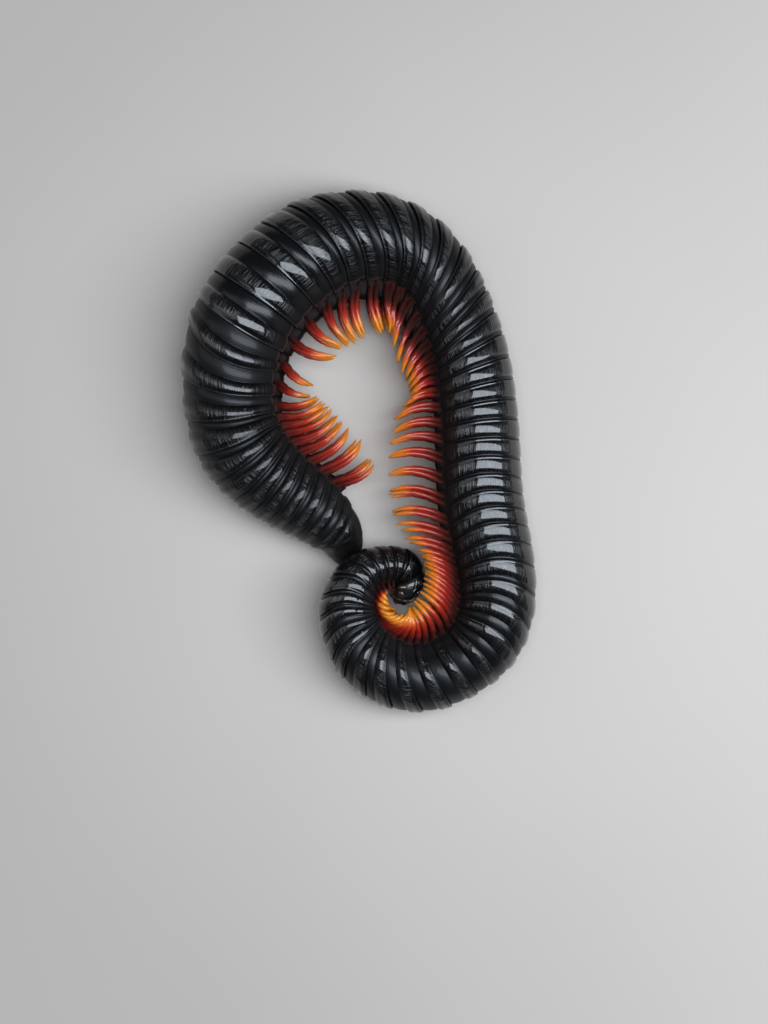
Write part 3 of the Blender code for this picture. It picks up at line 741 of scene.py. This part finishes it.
def bent_ring(blank, ring, draw):
    """Copy of the ring blank bent on to its place."""
    number, rear, front, plate = ring
    shape = points_of(blank)
    along = shape[:, 2]
    tuck = TUCK * min(1.0, (front - rear) / 2.0)
    if number == RINGS:
        tuck *= LAST_TUCK
    depth = min(RECESS, 0.8 * plate)
    stations = np.interp(along, [-1.0, 0.0, 1.0, 2.0, 3.0],
                         [rear + depth, rear, rear + plate, front, front + tuck])
    doming = 4.0 * table(RING_DOME, rear)
    dome = doming * (np.clip(along, 0.0, 1.0) - DOME_TOP) ** 2 * (along <= 1.0)
    sunk = doming * (1.0 - DOME_TOP) ** 2 * (along > 1.0)
    grow = 1.0 + draw.uniform(-RING_VARIES, RING_VARIES) - dome - sunk
    points = body.wrap(stations, shape[:, 0] * grow, shape[:, 1] * grow)
    return copy_of(blank, "ring", points, shell=shell_values(shape, number, np.clip(along, 0.0, 3.0)))


def pore_blank():
    """Low dome with a dimple at its top."""
    clear_choice()
    bpy.ops.mesh.primitive_uv_sphere_add(segments=10, ring_count=6, radius=1.0)
    blank = bpy.context.object
    shape = points_of(blank)
    wide = np.hypot(shape[:, 0], shape[:, 1])
    dimple = 1.1 * np.exp(-(wide / 0.45) ** 2)
    shape[:, 2] = np.where(shape[:, 2] > 0.0, shape[:, 2] - dimple, shape[:, 2])
    blank.data.vertices.foreach_set("co", shape.ravel())
    return blank


def pore(blank, ring, side):
    """Small raised pore low on the flank of a ring."""
    number, rear, _, plate = ring
    shape = points_of(blank)
    across = -PORE_PLACE
    up = side * math.sqrt(1.0 - across * across)
    station = rear + PORE_ALONG * plate
    seat = body.wrap(np.array([station]), np.array([across]), np.array([up]))[0]
    _, ahead, back, flank = body.frame(rear)
    away = back * across + flank * up
    over = np.cross(away, ahead)
    points = seat + (ahead * shape[:, :1] + over * shape[:, 1:2]) * PORE_SIZE
    points = points + away * shape[:, 2:] * (PORE_RISE * PORE_SIZE)
    return copy_of(blank, "pore", points, shell=(across, up, 4.0 * number + PORE_ALONG))


def make_rings(look, draw):
    """The plates: one piece for each length of the trunk."""
    blank = poke_ends(turned("ring_blank", RING_SHAPE, ROUND))
    bead = pore_blank()
    for index, rings in trunk_lengths():
        things = [bent_ring(blank, ring, draw) for ring in rings]
        things += [pore(bead, ring, side) for ring in rings for side in (1, -1)
                   if 1 < ring[0] <= RINGS - PORE_FREE]
        keep("plates_%d" % index, things, look, "cuticle", "trunk_%d" % index)
    bpy.data.objects.remove(blank)
    bpy.data.objects.remove(bead)


# Legs.

def leg_places(rear, front):
    """Side, station and lean of every leg of a ring."""
    close = table(PAIR_CLOSE, rear)
    half = table(PAIR_HALF, rear) / (front - rear)
    one = ((0.5, 0.0),)
    two = ((0.5 - half, close), (0.5 + half, -close))
    places = []
    for side, single_from in ((1, SINGLE_FROM), (-1, LOWER_SINGLE_FROM)):
        for share, lean in one if rear > single_from else two:
            places.append((side, rear + share * (front - rear), lean))
    return places


def leg_line(s, side, lean, draw):
    """Points down the middle of one leg, how far out of the belly they lie, and its station."""
    s = body.edge(s, -1.0)
    middle, ahead, back, flank = body.frame(s)
    radius = body.radius(s)
    depth = radius * table(BELLY_DEPTH, s)
    reach = table(LEG_REACH, s) * draw.uniform(1.0 - REACH_VARIES, 1.0 + REACH_VARIES)
    lift = table(ROLL_LIFT, s)
    if side < 0:
        reach *= table(ROLL_TUCK, s)
        lift = 0.0
    turn = table(LEG_SWEEP, s) + lean + draw.uniform(-SWEEP_VARIES, SWEEP_VARIES)
    sweep = math.radians(turn)
    rise = LEG_ARCH * math.sqrt(max(LEG_LENGTH ** 2 - reach ** 2, 1.0)) * side
    rise *= min(1.0, reach / 4.0)
    spread = 0.1 * radius * side
    out = np.linspace(-1.0, reach, 40)
    share = out / reach
    up = table(LEG_RISE, share) * rise + lift * np.clip(share / 0.62, 0.0, 1.0)
    forward = np.clip(share, 0.0, 1.0)
    along = math.tan(sweep) * np.maximum(out, 0.0) - LEG_BOW * reach * 4.0 * forward * (1.0 - forward)
    line = middle - back * (depth + out)[:, None] + ahead * along[:, None]
    line = line + flank * (spread + up)[:, None]
    return smoothed(line, 3), out, s


def leg_warmth(line, out, s):
    """Function that gives a leg's colour along its length: 0 nearly black, 1 orange. Within the painted
    shade band next to the belly it stays nearly black, as painted shade.
    """
    run = run_along(line)
    shaded_width = table(PAINTED_SHADE_BAND, s)
    warmer = table(LEG_WARMTH, s)

    def warm(share):
        # Nearly black over the painted shade band, then warming towards the tip.
        place = (np.interp(share * run[-1], run, out) - shaded_width) / max(out[-1] - shaded_width, 0.8)
        return np.clip((place * (1.0 + warmer) + 0.25) / 1.25, 0.0, 1.0)

    return warm


def bent_limb(blank, line, thick, warm, number, level=(0.0, 0.0, 1.0)):
    """Copy of a limb blank laid along a line of points."""
    shape = points_of(blank)
    run = run_along(line)
    share = shape[:, 2]

    def at(place):
        return np.stack([np.interp(place, run, line[:, i]) for i in range(3)], axis=1)

    place = share * run[-1]
    along = at(place + 0.05) - at(place - 0.05)
    along /= np.linalg.norm(along, axis=1, keepdims=True)
    side = np.cross(along, level)
    side /= np.maximum(np.linalg.norm(side, axis=1, keepdims=True), 1e-6)
    over = np.cross(side, along)
    points = at(place) + (side * shape[:, :1] + over * shape[:, 1:2]) * thick
    points[:, 2] = np.maximum(points[:, 2], 0.02)
    limb = np.stack([warm(share), share, np.full(len(share), number)], axis=1)
    return copy_of(blank, "limb", points, limb=limb)


def make_legs(look, draw):
    """The legs: one piece for each length of the trunk."""
    blank = turned("leg_blank", LEG_SHAPE, LEG_SIDES)
    count = 0
    for index, rings in trunk_lengths():
        legs = []
        for number, rear, front, _ in rings:
            if number == 1:
                continue
            for side, station, lean in leg_places(rear, front):
                count += 1
                line, out, s = leg_line(station, side, lean, draw)
                thick = min(1.0, 0.5 + table(LEG_REACH, s) / 8.0) * table(LEG_STOUT, s)
                legs.append(bent_limb(blank, line, LEG_THICK * thick, leg_warmth(line, out, s), count))
        keep("legs_%d" % index, legs, look, "cuticle", "trunk_%d" % index, sharp=180.0)
    bpy.data.objects.remove(blank)


# Belly plates, which also stand as a dark sheet of painted shade under the body.

def belly_blank():
    """Rounded block, one for each pair of legs: it carries them between the ring's two rims."""
    clear_choice()
    bpy.ops.mesh.primitive_cube_add(size=2.0)
    blank = bpy.context.object
    bpy.ops.object.mode_set(mode="EDIT")
    bpy.ops.mesh.select_all(action="SELECT")
    bpy.ops.mesh.subdivide(number_cuts=3)
    bpy.ops.object.mode_set(mode="OBJECT")
    shape = points_of(blank)
    long = np.linalg.norm(shape, axis=1, keepdims=True)
    reach = np.abs(shape).max(axis=1, keepdims=True)
    shape = shape * (0.5 + 0.5 * reach / long)
    blank.data.vertices.foreach_set("co", shape.ravel())
    return blank


def bent_block(blank, station, rear, front):
    """Copy of the belly blank, from inside the ring out over the painted shade band to where its legs turn
    red.
    """
    shape = points_of(blank)
    root = body.edge(station, -1.0)
    length = BLOCK_LENGTH * (body.edge(front, -1.0) - body.edge(rear, -1.0))
    low, high = -0.9, 0.95 * table(PAINTED_SHADE_BAND, root)
    slant = math.tan(math.radians(table(LEG_SWEEP, root)))
    middle, ahead, back, flank = body.frame(root + shape[:, 0] * length)
    depth = body.radius(root) * table(BELLY_DEPTH, root)
    out = low + (high - low) * (shape[:, 1] + 1.0) / 2.0
    wide = BLOCK_WIDTH * body.radius(root) * (1.0 - 0.15 * (shape[:, 1] + 1.0))
    points = middle - back * (depth + out)[:, None] + flank * (shape[:, 2] * wide)[:, None]
    points = points + ahead * (slant * np.maximum(out, 0.0))[:, None]
    return copy_of(blank, "block", points)


def make_belly_and_shade(look):
    """The belly plates, also a dark sheet of painted shade under the body: one piece for each length of the
    trunk.
    """
    blank = belly_blank()
    for index, rings in trunk_lengths():
        blocks = [bent_block(blank, rear + half * (front - rear), rear, front)
                  for number, rear, front, _ in rings for half in (0.25, 0.75) if number > 1]
        keep("belly_%d" % index, blocks, look, "cuticle", "trunk_%d" % index, sharp=180.0)
    bpy.data.objects.remove(blank)


# Tail, collar and head.

def make_sleeve(name, outline, number, zones, look, node):
    """A plate turned as a blank, then bent on to the body at its stations."""
    blank = poke_ends(turned(name + "_blank", outline, SLEEVE_SIDES))
    shape = points_of(blank)
    along = shape[:, 2]
    points = body.wrap(along, shape[:, 0], shape[:, 1])
    shell = shell_values(shape, number, np.interp(along, [along.min(), along.max()], zones))
    sleeve = copy_of(blank, name, points, shell=shell)
    bpy.data.objects.remove(blank)
    keep(name, [sleeve], look, "cuticle", node)


def egg(name, origin, axes, sizes, segments, rings):
    """Rounded form with its own three directions, made from a sphere."""
    clear_choice()
    bpy.ops.mesh.primitive_uv_sphere_add(segments=segments, ring_count=rings, radius=1.0)
    thing = bpy.context.object
    thing.name = name
    move(thing, origin + (points_of(thing) * np.array(sizes)) @ np.array(axes))
    return thing


def head_point(share, angle):
    """Shares along the head (0 neck, 1 mouth) and angles from the crown: (ahead, back, side)."""
    at = np.linspace(0.0, 1.0, len(HEAD_PROFILE))
    rows = np.array([[*crown, *chin, wide] for crown, chin, wide in HEAD_PROFILE])
    a, b, c, d, wide = [np.interp(share, at, rows[:, i]) for i in range(5)]
    return np.stack([(a + c) / 2.0 + (a - c) / 2.0 * np.cos(angle),
                     (b + d) / 2.0 + (b - d) / 2.0 * np.cos(angle), wide * np.sin(angle)], axis=1)


def head_relief(share, angle):
    """Height of the head's own relief at a place on it."""
    side = np.abs(angle)
    crown = np.clip(1.25 - side / 1.25, 0.0, 1.0)
    seam = np.exp(-(angle / 0.035) ** 2) * np.clip((0.42 - share) / 0.1, 0.0, 1.0)
    # Swelling over each feeler's socket, the socket's ring and the groove behind it.
    far = np.hypot((share - 0.46) / 0.055, (side - 1.02) / 0.2)
    socket = -0.3 * np.exp(-far ** 4) + 0.1 * np.exp(-((far - 1.35) / 0.25) ** 2)
    groove = np.exp(-((side - 1.36 - 0.5 * (share - 0.5)) / 0.05) ** 2)
    groove = groove * np.clip((share - 0.12) / 0.1, 0.0, 1.0)
    brow = np.exp(-((share - 0.6) / 0.05) ** 2 - (side / 0.8) ** 2)
    face = np.exp(-((share - 0.7) / 0.012) ** 2) * crown
    lip = np.exp(-((share - 0.875) / 0.01) ** 2) * np.clip(1.0 - side / 0.9, 0.0, 1.0)
    pits = 0.0
    for row, count, spread in LIP_PITS:
        for i in range(count):
            spot = (i - (count - 1) / 2.0) * spread
            pits = pits + np.exp(-(((share - row) / 0.011) ** 2 + ((angle - spot) / 0.035) ** 2))
    return -0.05 * seam + socket - 0.06 * groove + 0.05 * brow - 0.045 * face - 0.05 * lip - 0.06 * pits


def make_capsule(axes, middle):
    """Dome of the head from crown to upper lip, with its relief."""
    outline = [(z, 1.0) for z in np.linspace(0.0, 1.0, HEAD_LOOPS)] + [(1.02, 0.82), (1.02, 0.45)]
    blank = poke_ends(turned("head_blank", outline, HEAD_SIDES))
    shape = points_of(blank)
    wide = np.hypot(shape[:, 0], shape[:, 1])
    angle = np.arctan2(shape[:, 1], shape[:, 0])
    share = np.clip(shape[:, 2], 0.0, 1.0)
    spots = head_point(share, angle)
    centres = (head_point(share, angle * 0.0) + head_point(share, angle * 0.0 + math.pi)) / 2.0
    away = spots - centres
    long = np.maximum(np.linalg.norm(away, axis=1, keepdims=True), 0.001)
    inside = np.clip(wide, 0.0, 1.0)[:, None]
    spots = centres + away * inside + away / long * (head_relief(share, angle) * (wide > 0.99))[:, None]
    # Front edge of the lip: pulled back in the middle, with three blunt teeth in the notch.
    edge = np.clip((share - 0.9) / 0.1, 0.0, 1.0) ** 2 * np.clip(1.0 - np.abs(angle) / 0.42, 0.0, 1.0)
    teeth = sum(np.exp(-((angle - spot) / 0.07) ** 2) for spot in LIP_TEETH)
    spots[:, 1] += edge * (0.42 - 0.26 * np.clip(teeth, 0.0, 1.0)) * inside[:, 0]
    spots[:, 0] += edge * 0.05
    points = middle + spots @ np.array(axes)
    values = np.stack([np.cos(angle), np.sin(angle), share], axis=1)
    capsule = copy_of(blank, "head_capsule", points, shell=values)
    bpy.data.objects.remove(blank)
    return capsule


def make_jaws(axes, middle):
    """Plates of the jaws and the chin."""
    ahead, back, flank = axes
    things = []
    for label, seat, turn, sizes, mouth in JAW_PLATES:
        lean = math.radians(turn)
        long = ahead * math.cos(lean) + back * math.sin(lean)
        over = back * math.cos(lean) - ahead * math.sin(lean)
        faces = (16, 10) if "peg" in label else (64, 40)
        for side in (1, -1):
            spot = middle + ahead * seat[0] + back * seat[1] + flank * (seat[2] * side)
            plate = egg(label, spot, (long, over, flank), sizes, *faces)
            things.append(tag(plate, "shell", (0.0, 0.0, mouth)))
    spot = middle + ahead * CHIN_SEAT[0] + back * CHIN_SEAT[1]
    plate = egg("chin_middle", spot, axes, CHIN_SIZES, 40, 24)
    return things + [tag(plate, "shell", (0.0, 0.0, 0.7))]


def make_eye(axes, middle, side):
    """Eye patch with rows of small round lenses."""
    ahead, back, flank = axes
    seat = middle + ahead * EYE_SEAT[0] + back * EYE_SEAT[1] + flank * (EYE_SEAT[2] * side)
    things = [egg("patch", seat - flank * (0.1 * side), axes, EYE_SIZES, 32, 20)]
    for row in range(LENS_ROWS):
        for column in range(LENS_COLUMNS):
            a = (column - 3.0 + 0.5 * (row % 2)) * LENS_STEPS[0]
            b = (row - 2.5) * LENS_STEPS[1]
            if (a / 0.43) ** 2 + (b / 0.56) ** 2 > 0.85:
                continue
            rise = math.sqrt(1.0 - (a / EYE_SIZES[0]) ** 2 - (b / EYE_SIZES[1]) ** 2)
            spot = seat + ahead * a + back * b + flank * (side * (EYE_SIZES[2] * rise - 0.115))
            things.append(egg("lens", spot, axes, LENS_SIZES, 10, 7))
    return things


def make_feeler(axes, middle, side):
    """Feeler with four small cones at its tip."""
    ahead, back, flank = axes
    line = np.array([middle + ahead * a + back * b + flank * (side * c) for a, b, c in FEELER])
    line = smoothed(line, 2)
    blank = turned("feeler_blank", FEELER_SHAPE, FEELER_SIDES)
    things = [bent_limb(blank, line, FEELER_THICK, lambda share: share, 1, level=flank)]
    bpy.data.objects.remove(blank)
    run = (line[-1] - line[-2]) / np.linalg.norm(line[-1] - line[-2])
    for turn in range(4):
        angle = math.pi * (0.25 + 0.5 * turn)
        seat = line[-1] + (back * math.cos(angle) + flank * math.sin(angle)) * 0.07
        cone = egg("cone", seat, (run, back, flank), CONE_SIZES, 10, 8)
        things.append(tag(cone, "limb", (1.0, 1.0, 2.0)))
    return things


def make_head(shell, eyes, feelers):
    """Head capsule with its jaws, eyes and feelers."""
    middle, *axes = body.frame(COLLUM_TO)
    capsule = make_capsule(axes, middle)
    keep("head_and_jaws", [capsule] + make_jaws(axes, middle), shell, "cuticle", "head")
    sides = ((1, "right"), (-1, "left"))
    for side, label in sides:
        keep("ocelli_" + label, make_eye(axes, middle, side), eyes, "eye", "eye_" + label, sharp=180.0)
    for side, label in sides:
        feeler = make_feeler(axes, middle, side)
        keep("feeler_" + label, feeler, feelers, "feeler", "antenna_" + label, sharp=60.0)


def make_tail(look):
    """The last piece: a short cone with two rounded valves that meet in a raised seam."""
    make_sleeve("tail_cone", TELSON_SHAPE, 0, (1.5, 0.2), look, "telson")
    middle, ahead, back, flank = body.frame(VALVES_AT)
    valves = []
    for side in (1, -1):
        seat = middle - ahead * 0.1 + flank * (VALVE_SIDE * side)
        valve = egg("valve", seat, (ahead, back, flank), VALVE_SIZES, 48, 32)
        points = points_of(valve) / MM
        inner = ((points - middle) @ flank) * side
        lip = np.exp(-((inner - 0.1) / 0.09) ** 2)
        points -= ahead * (0.06 * lip)[:, None]
        cut = inner < VALVE_CUT
        points[cut] += flank * ((VALVE_CUT - inner[cut]) * side)[:, None]
        move(valve, points)
        values = np.stack([inner, inner * 0.0 + 1.0, inner * 0.0 + 0.5], axis=1)
        valves.append(tag(valve, "shell", values))
    keep("tail_valves", valves, look, "cuticle", "telson", sharp=60.0)


# Floor, light and camera.

def make_floor():
    """Floor under the animal."""
    clear_choice()
    bpy.ops.mesh.primitive_plane_add(size=FLOOR_SIZE, location=(0.0, 0.0, 0.0))
    floor = bpy.context.object
    floor.name = "floor"
    floor.data.materials.append(floor_finish())


def make_world(scene):
    """The camera sees a pale backdrop; the animal is lit by a much darker sky."""
    scene.world = scene.world or bpy.data.worlds.new("studio")
    scene.world.use_nodes = True
    tree = scene.world.node_tree
    sky = tree.nodes["Background"]
    sky.inputs["Color"].default_value = SKY
    sky.inputs["Strength"].default_value = SKY_STRENGTH
    backdrop = tree.nodes.new("ShaderNodeBackground")
    backdrop.inputs["Color"].default_value = (*FAR_FLOOR, 1.0)
    path = tree.nodes.new("ShaderNodeLightPath")
    choice = tree.nodes.new("ShaderNodeMixShader")
    tree.links.new(path.outputs["Is Camera Ray"], choice.inputs[0])
    tree.links.new(sky.outputs[0], choice.inputs[1])
    tree.links.new(backdrop.outputs[0], choice.inputs[2])
    tree.links.new(choice.outputs[0], tree.nodes["World Output"].inputs["Surface"])


def make_lamps(scene):
    """Soft lamps, all turned to the animal."""
    for name, place, size, power, colour in LAMPS:
        data = bpy.data.lights.new(name, "AREA")
        data.shape = "RECTANGLE"
        data.size, data.size_y = size
        data.energy = power
        data.color = colour
        lamp = bpy.data.objects.new(name, data)
        lamp.location = place
        away = Vector(LAMP_AIM) - Vector(place)
        lamp.rotation_euler = away.to_track_quat("-Z", "Y").to_euler()
        scene.collection.objects.link(lamp)


def make_camera(scene):
    """Camera straight above, as in the photo."""
    lens = bpy.data.cameras.new("camera")
    lens.sensor_fit = "VERTICAL"
    lens.sensor_height = 24.0
    lens.angle = 2.0 * math.atan(PICTURE_HEIGHT / 2.0 / PICTURE_FROM)
    lens.clip_start = 0.01
    camera = bpy.data.objects.new("camera", lens)
    camera.location = CAMERA_PLACE
    scene.collection.objects.link(camera)
    scene.camera = camera


draw = random.Random(11)
scene = bpy.context.scene
scene.view_settings.view_transform = "Standard"
shell_look = cuticle_finish()
make_floor()
make_world(scene)
make_lamps(scene)
make_camera(scene)
make_rings(shell_look, draw)
make_legs(leg_finish(), draw)
make_belly_and_shade(belly_and_shade_finish())
make_sleeve("collar", COLLUM_SHAPE, 90, (0.0, 0.95), shell_look, "collum")
make_tail(shell_look)
make_head(head_finish(), eye_finish(), feeler_finish())
